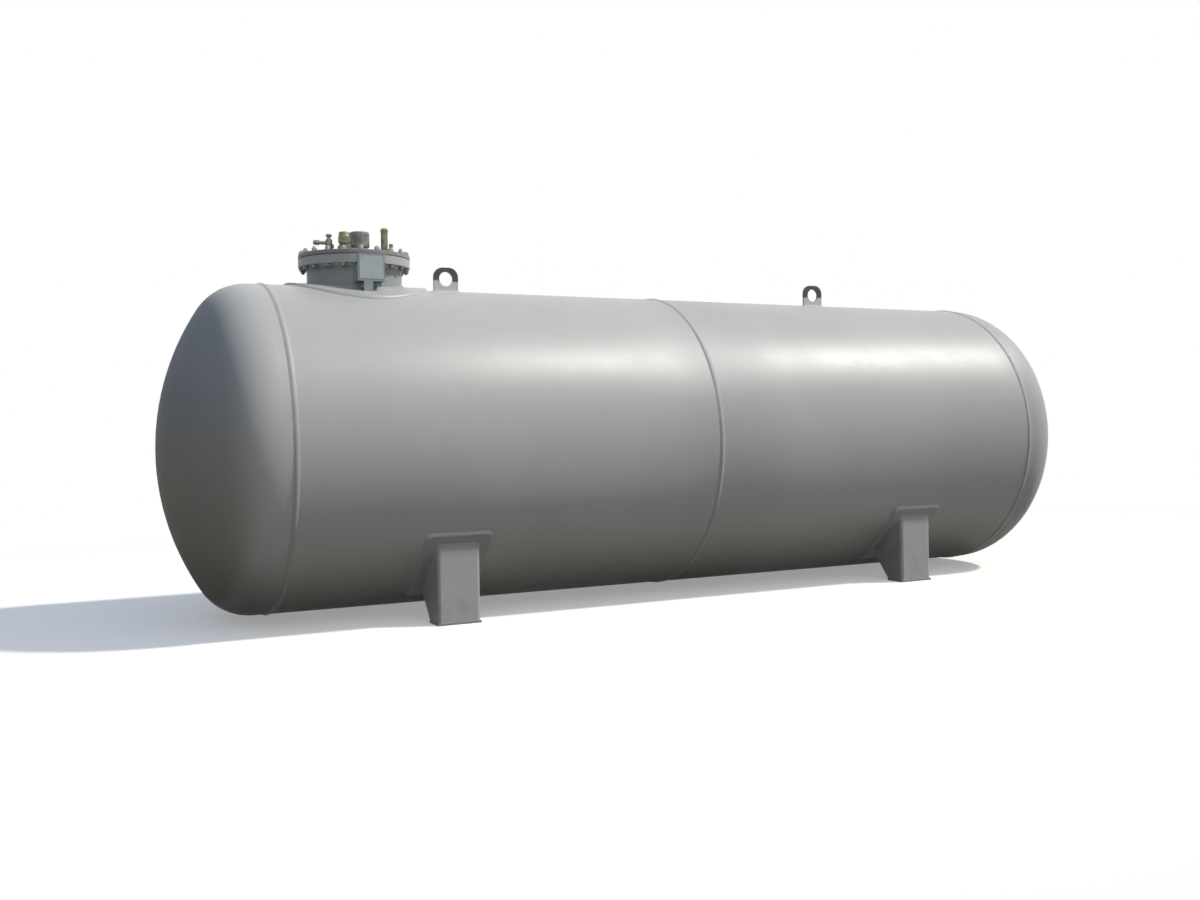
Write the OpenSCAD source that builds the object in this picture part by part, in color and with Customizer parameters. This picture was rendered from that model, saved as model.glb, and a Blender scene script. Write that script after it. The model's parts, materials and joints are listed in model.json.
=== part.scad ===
// Horizontal pressure tank on four welded legs, with a bolted manway and its fittings on top.
// Sizes in millimetres. X runs along the tank, Y across it, Z up. The ground is at zero.

/* [Vessel] */
// Outside diameter of the rolled shell
vessel_d = 1600; // [1400:10:1800]
// Length of each of the two shell courses
course_len = 2170; // [1950:10:2600]
// Wall of the shell courses
shell_t = 8; // [6:0.5:14]
// Wall of the dished heads
head_t = 9; // [6:0.5:14]
// Straight flange of a head, between its weld and the knuckle
head_flange = 60; // [40:1:90]
// Outside radius of the crown of a head
crown_r = 1280; // [1100:10:1600]
// Outside radius of the knuckle of a head
knuckle_r = 246; // [180:2:320]
// Clear height between the lowest line of the shell and the ground
ground_gap = 31; // [20:1:60]

/* [Girth welds] */
// Width of a weld bead
bead_w = 30; // [14:1:40]
// Height of a weld bead above the shell
bead_h = 6; // [2:0.5:9]

/* [Manway] */
// Distance of the manway axis from the left girth weld
manway_from_seam = 490; // [440:5:620]
// Outside diameter of the manway neck
neck_d = 472; // [400:2:520]
// Wall of the manway neck
neck_t = 12; // [8:0.5:20]
// Height of the flange face above the top line of the shell
neck_rise = 141; // [120:1:180]
// Outside diameter of the reinforcing pad around the neck
neck_pad_d = 700; // [620:2:800]
// Thickness of the reinforcing pad
neck_pad_t = 12; // [6:0.5:18]
// Distance that the flange and the cover stand out around the neck
flange_overhang = 41.5; // [35:0.5:80]
// Thickness of the flange
flange_t = 42; // [30:1:60]
// Distance that the gasket reaches out past the neck
gasket_lip = 11; // [5:0.5:20]
// Thickness of the gasket
gasket_t = 3; // [2:0.5:5]
// Thickness of the blind cover
cover_t = 20; // [14:1:40]
// Bevel on the edges of the flange and the cover
rim_bevel = 2; // [0.5:0.5:4]

/* [Nameplate bracket] */
// Width of the folded bracket
bracket_w = 134; // [110:2:160]
// Height of the front of the bracket
bracket_h = 134; // [110:2:160]
// Depth of the top edge of the bracket below the top of the cover
bracket_drop = 23; // [10:1:40]
// Sheet thickness of the bracket
bracket_t = 4; // [2:0.5:6]
// Clear gap between the rim of the flange and the bracket
bracket_gap = 14; // [8:1:30]
// Depth of the short folds beside the flange
bracket_fold = 14; // [10:1:16]
// Gap between the underside of the flange and the bracket arms
arm_gap = 10; // [5:1:20]
// Width of the foot under the bracket
foot_w = 45; // [30:1:70]
// Distance of the foot to the left of the middle of the bracket
foot_offset = 15; // [0:1:25]
// Width of the nameplate
nameplate_w = 118; // [90:2:120]
// Height of the nameplate
nameplate_h = 112; // [90:2:120]
// Thickness of the nameplate
nameplate_t = 1.5; // [1:0.5:3]

/* [Legs] */
// Distance of a leg from the middle girth weld
leg_from_middle = 1392; // [1200:2:1550]
// Width of a leg across its front
leg_w = 212; // [160:2:240]
// Distance of the front of a leg inside the side line of the shell
leg_inset = 128; // [110:2:150]
// Depth of a leg at its foot
leg_depth = 118; // [100:2:140]
// Plate thickness of a leg
leg_t = 10; // [6:0.5:14]
// Outside bend radius of the folded leg
leg_bend_r = 18; // [16:1:30]
// Slope of the rear edges of a leg above the ground, in degrees
leg_slope = 50; // [40:1:60]
// Thickness of the base plate
base_t = 10; // [6:1:20]
// Distance that the base plate stands out around the leg
base_lip = 2; // [1:1:30]
// Diameter of the anchor hole
anchor_d = 22; // [14:1:30]
// Distance of the anchor hole behind the front of the leg
anchor_from_front = 66; // [50:1:80]

/* [Leg pads] */
// Width of a leg pad along the tank
leg_pad_w = 314; // [260:2:380]
// Height of a leg pad, measured straight across
leg_pad_h = 448; // [440:2:520]
// Thickness of a leg pad
leg_pad_t = 12; // [6:0.5:18]
// Angle of the middle of a leg pad below the level axis, in degrees
leg_pad_angle = 46.8; // [44:0.2:49]
// Corner radius of a leg pad
leg_pad_corner = 24; // [10:1:50]

/* [Lifting lugs] */
// Distance of a lifting lug from the girth weld of its head
lug_from_seam = 977; // [930:5:1200]
// Width of a lug along the tank
lug_w = 134; // [116:2:160]
// Height of the lug hole above the top line of the shell
lug_hole_h = 70; // [60:1:90]
// Diameter of the lug hole
lug_hole_d = 76; // [50:1:84]
// Height of the top of a lug above the middle of its hole
lug_top = 60; // [56:1:80]
// Radius of the upper corners of a lug
lug_corner = 50; // [30:1:55]
// Plate thickness of a lug
lug_t = 14; // [10:1:30]

/* [Filling valve] */
// Position of the filling valve along the tank, from the manway axis
filling_x = -61; // [-70:1:-55]
// Position of the filling valve across the tank, from the manway axis
filling_y = -40; // [-60:1:-30]
// Height of the filling valve above the cover
filling_h = 114; // [108:1:140]
// Diameter of the barrel of the filling valve
filling_barrel_d = 48; // [36:1:54]
// Width across the flats of the filling valve
filling_flats = 60; // [52:1:66]
// Height of the flats of the filling valve
filling_flats_h = 28; // [20:1:34]
// Diameter of the dust cap
filling_cap_d = 60; // [56:1:66]
// Height of the dust cap
filling_cap_h = 58; // [40:1:70]
// Bevel of the dust cap
filling_cap_bevel = 5; // [2:0.5:8]

/* [Level gauge] */
// Position of the level gauge along the tank, from the manway axis
gauge_x = 45; // [40:1:60]
// Position of the level gauge across the tank, from the manway axis
gauge_y = 58; // [50:1:70]
// Height of the level gauge above the cover
gauge_h = 133; // [120:1:160]
// Diameter of the mounting flange of the gauge
gauge_flange_d = 116; // [104:1:124]
// Thickness of the mounting flange of the gauge
gauge_flange_t = 14; // [8:1:20]
// Diameter of the neck of the gauge
gauge_neck_d = 68; // [50:1:80]
// Diameter of the head of the gauge
gauge_head_d = 100; // [90:1:110]
// Height of the head of the gauge
gauge_head_h = 80; // [60:1:90]
// Bevel on the edges of the head of the gauge
gauge_bevel = 5; // [2:0.5:8]
// Diameter of the dial window
gauge_dial_d = 78; // [60:1:82]
// Depth of the dial window
gauge_dial_depth = 5; // [3:0.5:8]

/* [Relief valve] */
// Position of the relief valve along the tank, from the manway axis
relief_x = 158; // [150:1:160]
// Position of the relief valve across the tank, from the manway axis
relief_y = 0; // [-20:1:10]
// Height of the relief valve above the cover
relief_h = 152; // [130:1:180]
// Diameter of the barrel of the relief valve
relief_barrel_d = 35; // [28:1:40]
// Width across the flats of the relief valve
relief_flats = 42; // [38:1:46]
// Height of the flats of the relief valve
relief_flats_h = 26; // [18:1:36]
// Diameter of the rain cap
relief_cap_d = 39; // [37:1:44]
// Height of the rain cap
relief_cap_h = 20; // [14:1:30]
// Bevel of the rain cap
relief_cap_bevel = 4; // [2:0.5:6]

/* [Vapour valve] */
// Position of the vapour valve along the tank, from the manway axis
vapour_x = -127; // [-140:1:-120]
// Position of the vapour valve across the tank, from the manway axis
vapour_y = 8; // [0:1:20]
// Height of the vapour valve above the cover
vapour_h = 107; // [100:1:130]
// Diameter of the body of the vapour valve
vapour_body_d = 34; // [30:1:40]
// Height of the outlet above the cover
vapour_outlet_h = 62; // [54:1:66]
// Diameter of the outlet
vapour_outlet_d = 18; // [14:1:22]
// Reach of the outlet from the axis of the vapour valve
vapour_outlet_len = 62; // [50:1:66]
// Diameter of the outlet cap
vapour_cap_d = 25; // [23:1:30]
// Length of the outlet cap
vapour_cap_len = 30; // [20:1:32]
// Depth of the outlet inside its cap
vapour_cap_depth = 14; // [8:1:18]
// Diameter of the spindle housing
vapour_bonnet_d = 20; // [16:1:26]
// Diameter of the hand knob
vapour_knob_d = 31; // [28:1:40]
// Height of the hand knob
vapour_knob_h = 14; // [10:1:20]

/* [Small cocks] */
// Position of the bleed cock along the tank, from the manway axis
bleed_x = -96; // [-100:1:-90]
// Position of the bleed cock across the tank, from the manway axis
bleed_y = 66; // [60:1:80]
// Height of the bleed cock above the cover
bleed_h = 65; // [58:1:90]
// Position of the test cock along the tank, from the manway axis
test_x = 178; // [172:1:182]
// Position of the test cock across the tank, from the manway axis
test_y = -48; // [-60:1:-45]
// Height of the test cock above the cover
test_h = 66; // [58:1:90]
// Diameter of the stem of a cock
cock_stem_d = 13; // [10:1:16]
// Diameter of the knob of a cock
cock_knob_d = 21; // [18:1:24]
// Height of the knob of a cock
cock_knob_h = 18; // [12:1:24]
// Width across the flats of a cock
cock_flats = 24; // [20:1:26]
// Height of the flats of a cock
cock_flats_h = 16; // [10:1:24]

/* [Cover bosses] */
// Height of the welded bosses under the fittings
boss_h = 16; // [10:1:24]
// Distance that a boss stands out around the flats of its fitting
boss_lip = 5; // [3:0.5:8]

/* [Hidden] */
$fn = 128;
hex_sides = 6;
over = 1;
vessel_r = vessel_d / 2;
axis_z = vessel_r + ground_gap;
top_z = axis_z + vessel_r;
flange_top_z = top_z + neck_rise;
cover_z = flange_top_z + gasket_t;
cover_top_z = cover_z + cover_t;
manway_x = manway_from_seam - course_len;
neck_bore_d = neck_d - 2 * neck_t;
flange_d = neck_d + 2 * flange_overhang;
gasket_d = neck_d + 2 * gasket_lip;
crown_back = sqrt(pow(crown_r - knuckle_r, 2) - pow(vessel_r - knuckle_r, 2));
knuckle_x = vessel_r - knuckle_r;
head_ray = knuckle_x / crown_back;
bead_r = (pow(bead_w / 2, 2) + pow(bead_h, 2)) / (2 * bead_h);
bracket_front = flange_d / 2 + bracket_gap + bracket_t;
bracket_top_z = cover_top_z - bracket_drop;
bracket_low_z = bracket_top_z - bracket_h;
arm_top_z = flange_top_z - flange_t - arm_gap;
leg_front = vessel_r - leg_inset;
leg_rear = leg_front - leg_depth;
lug_x = course_len - lug_from_seam;
lug_hole_z = top_z + lug_hole_h;
vapour_body_h = vapour_outlet_h + vapour_body_d / 2;

// Turns an upright body onto the axis of the tank
module along_tank(x) {
    translate([x, 0, axis_z])
        rotate([0, 90, 0])
            children();
}

// Round body of a given radius along the whole tank
module tank_round(radius) {
    along_tank(0)
        cylinder(r = radius, h = 3 * course_len, center = true);
}

// Places a fitting on the cover
module on_cover(x, y) {
    translate([manway_x + x, y, cover_top_z])
        children();
}

// Places a part of a leg at one of the four corners
module at_corner(x_side, y_side) {
    translate([x_side * leg_from_middle, 0, 0])
        mirror([0, y_side > 0 ? 1 : 0, 0])
            children();
}

// Half outline of a dished head with its straight flange, inset by a wall
module dish_outline(inset, extra) {
    intersection() {
        translate([0, -crown_back])
            circle(r = crown_r - inset);
        polygon([[0, 0], [knuckle_x, 0], [knuckle_x + head_ray * crown_r, crown_r], [0, crown_r]]);
    }
    intersection() {
        translate([knuckle_x, 0])
            circle(r = knuckle_r - inset);
        translate([0, -head_flange - extra])
            square([vessel_r, head_flange + extra + knuckle_r]);
    }
    translate([0, -head_flange - extra])
        square([vessel_r - inset, head_flange + extra]);
}

// Dished head with its open side at zero and its crown upwards
module dished_head() {
    translate([0, 0, head_flange])
        rotate_extrude()
            difference() {
                dish_outline(0, 0);
                dish_outline(head_t, over);
            }
}

module left_head() {
    color([0.60, 0.60, 0.58])
        mirror([1, 0, 0])
            along_tank(course_len)
                dished_head();
}

module right_head() {
    color([0.60, 0.60, 0.58])
        along_tank(course_len)
            dished_head();
}

// Rolled course of the shell
module shell_course(x) {
    along_tank(x)
        difference() {
            cylinder(r = vessel_r, h = course_len);
            translate([0, 0, -over])
                cylinder(r = vessel_r - shell_t, h = course_len + 2 * over);
        }
}

module left_shell_course() {
    color([0.62, 0.62, 0.60])
        difference() {
            shell_course(-course_len);
            translate([manway_x, 0, axis_z])
                cylinder(d = neck_d, h = vessel_d);
        }
}

module right_shell_course() {
    color([0.62, 0.62, 0.60])
        shell_course(0);
}

// Crowned weld bead around the shell
module girth_weld(x) {
    color([0.55, 0.55, 0.53])
        along_tank(x)
            rotate_extrude()
                intersection() {
                    translate([vessel_r + bead_h - bead_r, 0])
                        circle(r = bead_r);
                    translate([vessel_r, -bead_w])
                        square([bead_w, 2 * bead_w]);
                }
}

module left_girth_weld() {
    girth_weld(-course_len);
}

module middle_girth_weld() {
    girth_weld(0);
}

module right_girth_weld() {
    girth_weld(course_len);
}

module manway_pad() {
    color([0.60, 0.60, 0.58])
        difference() {
            intersection() {
                tank_round(vessel_r + neck_pad_t);
                translate([manway_x, 0, axis_z])
                    cylinder(d = neck_pad_d, h = vessel_d);
            }
            tank_round(vessel_r);
            translate([manway_x, 0, axis_z])
                cylinder(d = neck_d, h = vessel_d);
        }
}

module manway_neck() {
    color([0.50, 0.51, 0.52])
        difference() {
            translate([manway_x, 0, axis_z])
                cylinder(d = neck_d, h = flange_top_z - axis_z);
            translate([manway_x, 0, axis_z - over])
                cylinder(d = neck_bore_d, h = vessel_d);
            tank_round(vessel_r - shell_t);
        }
}

// Round plate with bevelled edges
module bevelled_disc(d, h, bevel) {
    cylinder(d1 = d - 2 * bevel, d2 = d, h = bevel);
    translate([0, 0, bevel])
        cylinder(d = d, h = h - 2 * bevel);
    translate([0, 0, h - bevel])
        cylinder(d1 = d, d2 = d - 2 * bevel, h = bevel);
}

module manway_flange() {
    color([0.52, 0.53, 0.54])
        translate([manway_x, 0, flange_top_z - flange_t])
            difference() {
                bevelled_disc(flange_d, flange_t, rim_bevel);
                translate([0, 0, -over])
                    cylinder(d = neck_d, h = flange_t + 2 * over);
            }
}

module manway_gasket() {
    color([0.15, 0.15, 0.15])
        translate([manway_x, 0, flange_top_z])
            difference() {
                cylinder(d = gasket_d, h = gasket_t);
                translate([0, 0, -over])
                    cylinder(d = neck_bore_d, h = gasket_t + 2 * over);
            }
}

module manway_cover() {
    color([0.40, 0.41, 0.42])
        translate([manway_x, 0, cover_z])
            bevelled_disc(flange_d, cover_t, rim_bevel);
}

// Welded boss under a fitting with the given flats
module boss(x, y, flats) {
    on_cover(x, y)
        cylinder(d = hex_d(flats) + 2 * boss_lip, h = boss_h);
}

module cover_bosses() {
    color([0.50, 0.51, 0.52]) {
        boss(filling_x, filling_y, filling_flats);
        boss(relief_x, relief_y, relief_flats);
        boss(vapour_x, vapour_y, vapour_body_d);
        boss(bleed_x, bleed_y, cock_flats);
        boss(test_x, test_y, cock_flats);
    }
}

// Diameter around the corners of a hexagon
function hex_d(flats) = flats / cos(180 / hex_sides);

// Hexagonal block of a given width across its flats
module hex_block(flats, h) {
    cylinder(d = hex_d(flats), h = h, $fn = hex_sides);
}

// One arm of the bracket, from its front to the neck, with the short fold above
module bracket_arm() {
    translate([bracket_w / 2 - bracket_t, -bracket_front, 0]) {
        translate([0, 0, bracket_low_z])
            cube([bracket_t, bracket_front, arm_top_z - bracket_low_z]);
        translate([0, 0, bracket_low_z])
            cube([bracket_t, bracket_fold, bracket_h]);
    }
}

module nameplate_bracket() {
    color([0.68, 0.70, 0.73])
        difference() {
            translate([manway_x, 0, 0]) {
                translate([-bracket_w / 2, -bracket_front, bracket_low_z])
                    cube([bracket_w, bracket_t, bracket_h]);
                translate([-foot_offset - foot_w / 2, -bracket_front, axis_z])
                    cube([foot_w, bracket_t, bracket_low_z + bracket_t - axis_z]);
                bracket_arm();
                mirror([1, 0, 0])
                    bracket_arm();
            }
            translate([manway_x, 0, axis_z])
                cylinder(d = neck_d, h = vessel_d);
            tank_round(vessel_r + neck_pad_t);
        }
}

module nameplate() {
    color([0.74, 0.76, 0.78])
        translate([
            manway_x - nameplate_w / 2,
            -bracket_front - nameplate_t,
            bracket_top_z - (bracket_h + nameplate_h) / 2
        ])
            cube([nameplate_w, nameplate_t, nameplate_h]);
}

module filling_valve_body() {
    color([0.56, 0.47, 0.26])
        on_cover(filling_x, filling_y) {
            translate([0, 0, boss_h])
                hex_block(filling_flats, filling_flats_h);
            translate([0, 0, boss_h])
                cylinder(d = filling_barrel_d, h = filling_h - filling_cap_h - boss_h);
        }
}

module filling_valve_cap() {
    color([0.52, 0.44, 0.24])
        on_cover(filling_x, filling_y)
            translate([0, 0, filling_h - filling_cap_h])
                bevelled_disc(filling_cap_d, filling_cap_h, filling_cap_bevel);
}

module level_gauge_base() {
    color([0.55, 0.56, 0.57])
        on_cover(gauge_x, gauge_y) {
            cylinder(d = gauge_flange_d, h = gauge_flange_t);
            cylinder(d = gauge_neck_d, h = gauge_h - gauge_head_h);
        }
}

module level_gauge_head() {
    color([0.28, 0.29, 0.29])
        on_cover(gauge_x, gauge_y)
            translate([0, 0, gauge_h - gauge_head_h])
                difference() {
                    bevelled_disc(gauge_head_d, gauge_head_h, gauge_bevel);
                    translate([0, 0, gauge_head_h - gauge_dial_depth])
                        cylinder(d = gauge_dial_d, h = gauge_dial_depth + over);
                }
}

module level_gauge_dial() {
    color([0.80, 0.80, 0.78])
        on_cover(gauge_x, gauge_y)
            translate([0, 0, gauge_h - gauge_dial_depth])
                cylinder(d = gauge_dial_d, h = gauge_dial_depth / 2);
}

module relief_valve_body() {
    color([0.60, 0.50, 0.27])
        on_cover(relief_x, relief_y) {
            translate([0, 0, boss_h])
                hex_block(relief_flats, relief_flats_h);
            translate([0, 0, boss_h])
                cylinder(d = relief_barrel_d, h = relief_h - relief_cap_h - boss_h);
        }
}

module relief_valve_cap() {
    color([0.62, 0.53, 0.32])
        on_cover(relief_x, relief_y)
            translate([0, 0, relief_h - relief_cap_h])
                bevelled_disc(relief_cap_d, relief_cap_h, relief_cap_bevel);
}

module vapour_valve_body() {
    color([0.30, 0.30, 0.30])
        on_cover(vapour_x, vapour_y) {
            translate([0, 0, boss_h])
                cylinder(d = vapour_body_d, h = vapour_body_h - boss_h);
            translate([0, 0, boss_h])
                cylinder(d = vapour_bonnet_d, h = vapour_h - vapour_knob_h - boss_h);
            translate([0, 0, vapour_outlet_h])
                rotate([0, -90, 0])
                    cylinder(d = vapour_outlet_d, h = vapour_outlet_len);
        }
}

module vapour_valve_knob() {
    color([0.20, 0.20, 0.20])
        on_cover(vapour_x, vapour_y)
            translate([0, 0, vapour_h - vapour_knob_h])
                bevelled_disc(vapour_knob_d, vapour_knob_h, rim_bevel);
}

module vapour_outlet_cap() {
    color([0.16, 0.16, 0.16])
        on_cover(vapour_x, vapour_y)
            translate([vapour_cap_depth - vapour_outlet_len, 0, vapour_outlet_h])
                rotate([0, -90, 0])
                    difference() {
                        bevelled_disc(vapour_cap_d, vapour_cap_len, rim_bevel);
                        translate([0, 0, -over])
                            cylinder(d = vapour_outlet_d, h = vapour_cap_depth + over);
                    }
}

// Small cock with a hexagon, a stem and a knob
module cock(h) {
    translate([0, 0, boss_h])
        hex_block(cock_flats, cock_flats_h);
    translate([0, 0, boss_h])
        cylinder(d = cock_stem_d, h = h - boss_h - cock_knob_h / 2);
    translate([0, 0, h - cock_knob_h])
        bevelled_disc(cock_knob_d, cock_knob_h, rim_bevel);
}

module bleed_cock() {
    color([0.62, 0.54, 0.32])
        on_cover(bleed_x, bleed_y)
            cock(bleed_h);
}

module test_cock() {
    color([0.62, 0.54, 0.32])
        on_cover(test_x, test_y)
            cock(test_h);
}

// Outline of a lug around the middle of its hole, with round upper corners and a long foot
module lug_outline() {
    foot = lug_hole_h + lug_w;
    shoulder = lug_top - lug_corner;
    translate([-lug_w / 2, -foot])
        square([lug_w, foot + shoulder]);
    translate([lug_corner - lug_w / 2, -foot])
        square([lug_w - 2 * lug_corner, foot + lug_top]);
    for (x = [-1, 1])
        translate([x * (lug_w / 2 - lug_corner), shoulder])
            circle(r = lug_corner);
}

// Lug plate with an eye, its foot cut to the shell
module lifting_lug(x) {
    color([0.40, 0.40, 0.39])
        difference() {
            translate([x, lug_t / 2, lug_hole_z])
                rotate([90, 0, 0])
                    linear_extrude(height = lug_t)
                        difference() {
                            lug_outline();
                            circle(d = lug_hole_d);
                        }
            tank_round(vessel_r);
        }
}

module left_lifting_lug() {
    lifting_lug(-lug_x);
}

module right_lifting_lug() {
    lifting_lug(lug_x);
}

// Curved pad between a leg and the shell
module leg_pad() {
    color([0.58, 0.58, 0.56])
        intersection() {
            difference() {
                tank_round(vessel_r + leg_pad_t);
                tank_round(vessel_r);
            }
            translate([0, 0, axis_z])
                rotate([90 + leg_pad_angle, 0, 0])
                    linear_extrude(height = vessel_d)
                        rounded_plate(leg_pad_w, leg_pad_h, leg_pad_corner);
        }
}

// Flat outline with round corners, centred
module rounded_plate(w, h, corner) {
    square([w - 2 * corner, h], center = true);
    square([w, h - 2 * corner], center = true);
    for (x = [-1, 1], y = [-1, 1])
        translate([x * (w / 2 - corner), y * (h / 2 - corner)])
            circle(r = corner);
}

module front_left_leg_pad() {
    at_corner(-1, -1)
        leg_pad();
}

module front_right_leg_pad() {
    at_corner(1, -1)
        leg_pad();
}

module rear_left_leg_pad() {
    at_corner(-1, 1)
        leg_pad();
}

module rear_right_leg_pad() {
    at_corner(1, 1)
        leg_pad();
}

// Outline of the front of a folded leg, with round outer corners
module fold_outline(w, front, corner) {
    translate([-w / 2, -front + corner])
        square([w, front - corner]);
    translate([-w / 2 + corner, -front])
        square([w - 2 * corner, front]);
    for (x = [-1, 1])
        translate([x * (w / 2 - corner), -front + corner])
            circle(r = corner);
}

// Folded leg, open at the rear, cut to the pad and sloped behind
module leg() {
    color([0.62, 0.63, 0.63])
        difference() {
            translate([0, 0, base_t])
                linear_extrude(height = axis_z - base_t)
                    difference() {
                        fold_outline(leg_w, leg_front, leg_bend_r);
                        fold_outline(leg_w - 2 * leg_t, leg_front - leg_t, leg_bend_r - leg_t);
                    }
            tank_round(vessel_r + leg_pad_t);
            translate([0, -leg_rear, base_t])
                rotate([90, 0, 90])
                    linear_extrude(height = 2 * leg_w, center = true)
                        polygon([[0, -over], [vessel_d, -over], [vessel_d, vessel_d * tan(leg_slope)], [0, 0]]);
        }
}

module front_left_leg() {
    at_corner(-1, -1)
        leg();
}

module front_right_leg() {
    at_corner(1, -1)
        leg();
}

module rear_left_leg() {
    at_corner(-1, 1)
        leg();
}

module rear_right_leg() {
    at_corner(1, 1)
        leg();
}

// Base plate under a leg, with its anchor hole
module base_plate() {
    color([0.56, 0.56, 0.55])
        difference() {
            translate([-leg_w / 2 - base_lip, -leg_front - base_lip, 0])
                cube([leg_w + 2 * base_lip, leg_depth + 2 * base_lip, base_t]);
            translate([0, anchor_from_front - leg_front, -over])
                cylinder(d = anchor_d, h = base_t + 2 * over);
        }
}

module front_left_base_plate() {
    at_corner(-1, -1)
        base_plate();
}

module front_right_base_plate() {
    at_corner(1, -1)
        base_plate();
}

module rear_left_base_plate() {
    at_corner(-1, 1)
        base_plate();
}

module rear_right_base_plate() {
    at_corner(1, 1)
        base_plate();
}

left_head();
right_head();
left_shell_course();
right_shell_course();
left_girth_weld();
middle_girth_weld();
right_girth_weld();
manway_pad();
manway_neck();
manway_flange();
manway_gasket();
manway_cover();
cover_bosses();
nameplate_bracket();
nameplate();
filling_valve_body();
filling_valve_cap();
level_gauge_base();
level_gauge_head();
level_gauge_dial();
relief_valve_body();
relief_valve_cap();
vapour_valve_body();
vapour_valve_knob();
vapour_outlet_cap();
bleed_cock();
test_cock();
left_lifting_lug();
right_lifting_lug();
front_left_leg_pad();
front_right_leg_pad();
rear_left_leg_pad();
rear_right_leg_pad();
front_left_leg();
front_right_leg();
rear_left_leg();
rear_right_leg();
front_left_base_plate();
front_right_base_plate();
rear_left_base_plate();
rear_right_base_plate();
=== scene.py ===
import json
import math

import bpy
import numpy as np
from mathutils import Matrix, Vector


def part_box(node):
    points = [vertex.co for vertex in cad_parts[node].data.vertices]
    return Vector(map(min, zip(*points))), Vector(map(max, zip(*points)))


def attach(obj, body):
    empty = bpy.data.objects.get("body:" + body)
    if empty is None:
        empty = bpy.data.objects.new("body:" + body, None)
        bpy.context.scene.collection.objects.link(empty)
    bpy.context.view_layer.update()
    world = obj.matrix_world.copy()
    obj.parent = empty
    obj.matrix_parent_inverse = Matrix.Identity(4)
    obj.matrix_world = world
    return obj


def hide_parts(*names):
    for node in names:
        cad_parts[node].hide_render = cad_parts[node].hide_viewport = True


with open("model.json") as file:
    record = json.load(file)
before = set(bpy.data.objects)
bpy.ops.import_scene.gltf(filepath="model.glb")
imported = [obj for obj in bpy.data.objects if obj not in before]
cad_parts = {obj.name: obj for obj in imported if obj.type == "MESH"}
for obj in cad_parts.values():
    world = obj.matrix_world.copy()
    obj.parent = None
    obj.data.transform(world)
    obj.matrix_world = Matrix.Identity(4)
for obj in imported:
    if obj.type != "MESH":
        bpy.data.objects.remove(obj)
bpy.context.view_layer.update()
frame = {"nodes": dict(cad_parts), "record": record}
nodes = frame["nodes"]
scene = bpy.context.scene
TAU = 2 * math.pi
UP = (0, 0, 1)
DOWN = (0, 0, -1)
LEFT = (-1, 0, 0)
FRONT = (0, -1, 0)

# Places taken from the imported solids, in metres
shell_low, shell_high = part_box("right_shell_course")
SHELL_R = (shell_high.y - shell_low.y) / 2
AXIS_Z = shell_high.z - SHELL_R
SHELL_TOP = AXIS_Z + SHELL_R
COURSE = shell_high.x
cover_low, cover_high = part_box("manway_cover")
flange_low, flange_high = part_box("manway_flange")
neck_low, neck_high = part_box("manway_neck")
pad_low, pad_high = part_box("manway_pad")
MANWAY_X = (cover_low.x + cover_high.x) / 2
COVER_TOP = cover_high.z
NECK_R = (neck_high.y - neck_low.y) / 2
NECK_PAD_R = (pad_high.y - pad_low.y) / 2
NECK_PAD_T = pad_high.z - SHELL_TOP

# Sizes of the solids that their boxes do not give
LEG_PAD_T = 0.012
LEG_PAD_CORNER = 0.024
LEG_BEND = 0.018
FILLING_NECK_R = 0.0255
GAUGE_FLANGE_T = 0.014

# Radius of each boss on the cover, by the fitting that stands on it
BOSS_R = {
    "filling_valve_body": 0.0396,
    "relief_valve_body": 0.0293,
    "vapour_valve_knob": 0.0246,
    "bleed_cock": 0.0189,
    "test_cock": 0.0189,
}


# Materials

# Sockets of Blender's mix node, for colours and for vectors
COLOUR_A, COLOUR_B, COLOUR_RESULT = 6, 7, 2
VECTOR_A, VECTOR_B, VECTOR_RESULT = 4, 5, 1


class Graph:
    """Short ways to lay nodes into one shader tree."""

    def __init__(self, tree):
        self.tree = tree

    def node(self, kind, **settings):
        made = self.tree.nodes.new(kind)
        for key, value in settings.items():
            setattr(made, key, value)
        return made

    def put(self, socket, value):
        """Links a socket to a node's output, or sets it to a constant."""
        if isinstance(value, bpy.types.NodeSocket):
            self.tree.links.new(value, socket)
        else:
            socket.default_value = value

    def span(self, value, low, high, out_low=0.0, out_high=1.0):
        """A smooth step between two outputs, as a value goes from low to high."""
        made = self.node("ShaderNodeMapRange", interpolation_type="SMOOTHSTEP")
        self.put(made.inputs["Value"], value)
        made.inputs["From Min"].default_value = low
        made.inputs["From Max"].default_value = high
        made.inputs["To Min"].default_value = out_low
        made.inputs["To Max"].default_value = out_high
        return made.outputs["Result"]

    def calc(self, operation, a, b=0.0):
        made = self.node("ShaderNodeMath", operation=operation)
        self.put(made.inputs[0], a)
        self.put(made.inputs[1], b)
        return made.outputs["Value"]

    def plus(self, a, b):
        return self.calc("ADD", a, b)

    def times(self, a, b):
        return self.calc("MULTIPLY", a, b)

    def larger(self, a, b):
        return self.calc("MAXIMUM", a, b)

    def apart(self, a, b):
        return self.calc("ABSOLUTE", self.calc("SUBTRACT", a, b))

    def axis(self, vector, name):
        made = self.node("ShaderNodeSeparateXYZ")
        self.put(made.inputs["Vector"], vector)
        return made.outputs[name]

    def length(self, vector):
        made = self.node("ShaderNodeVectorMath", operation="LENGTH")
        self.put(made.inputs[0], vector)
        return made.outputs["Value"]

    def mix(self, factor, a, b):
        """From colour a to colour b, as the factor goes from nought to one."""
        made = self.node("ShaderNodeMix", data_type="RGBA")
        self.put(made.inputs["Factor"], factor)
        for socket, value in ((made.inputs[COLOUR_A], a), (made.inputs[COLOUR_B], b)):
            self.put(socket, value if isinstance(value, bpy.types.NodeSocket) else (*value, 1.0))
        return made.outputs[COLOUR_RESULT]


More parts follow.
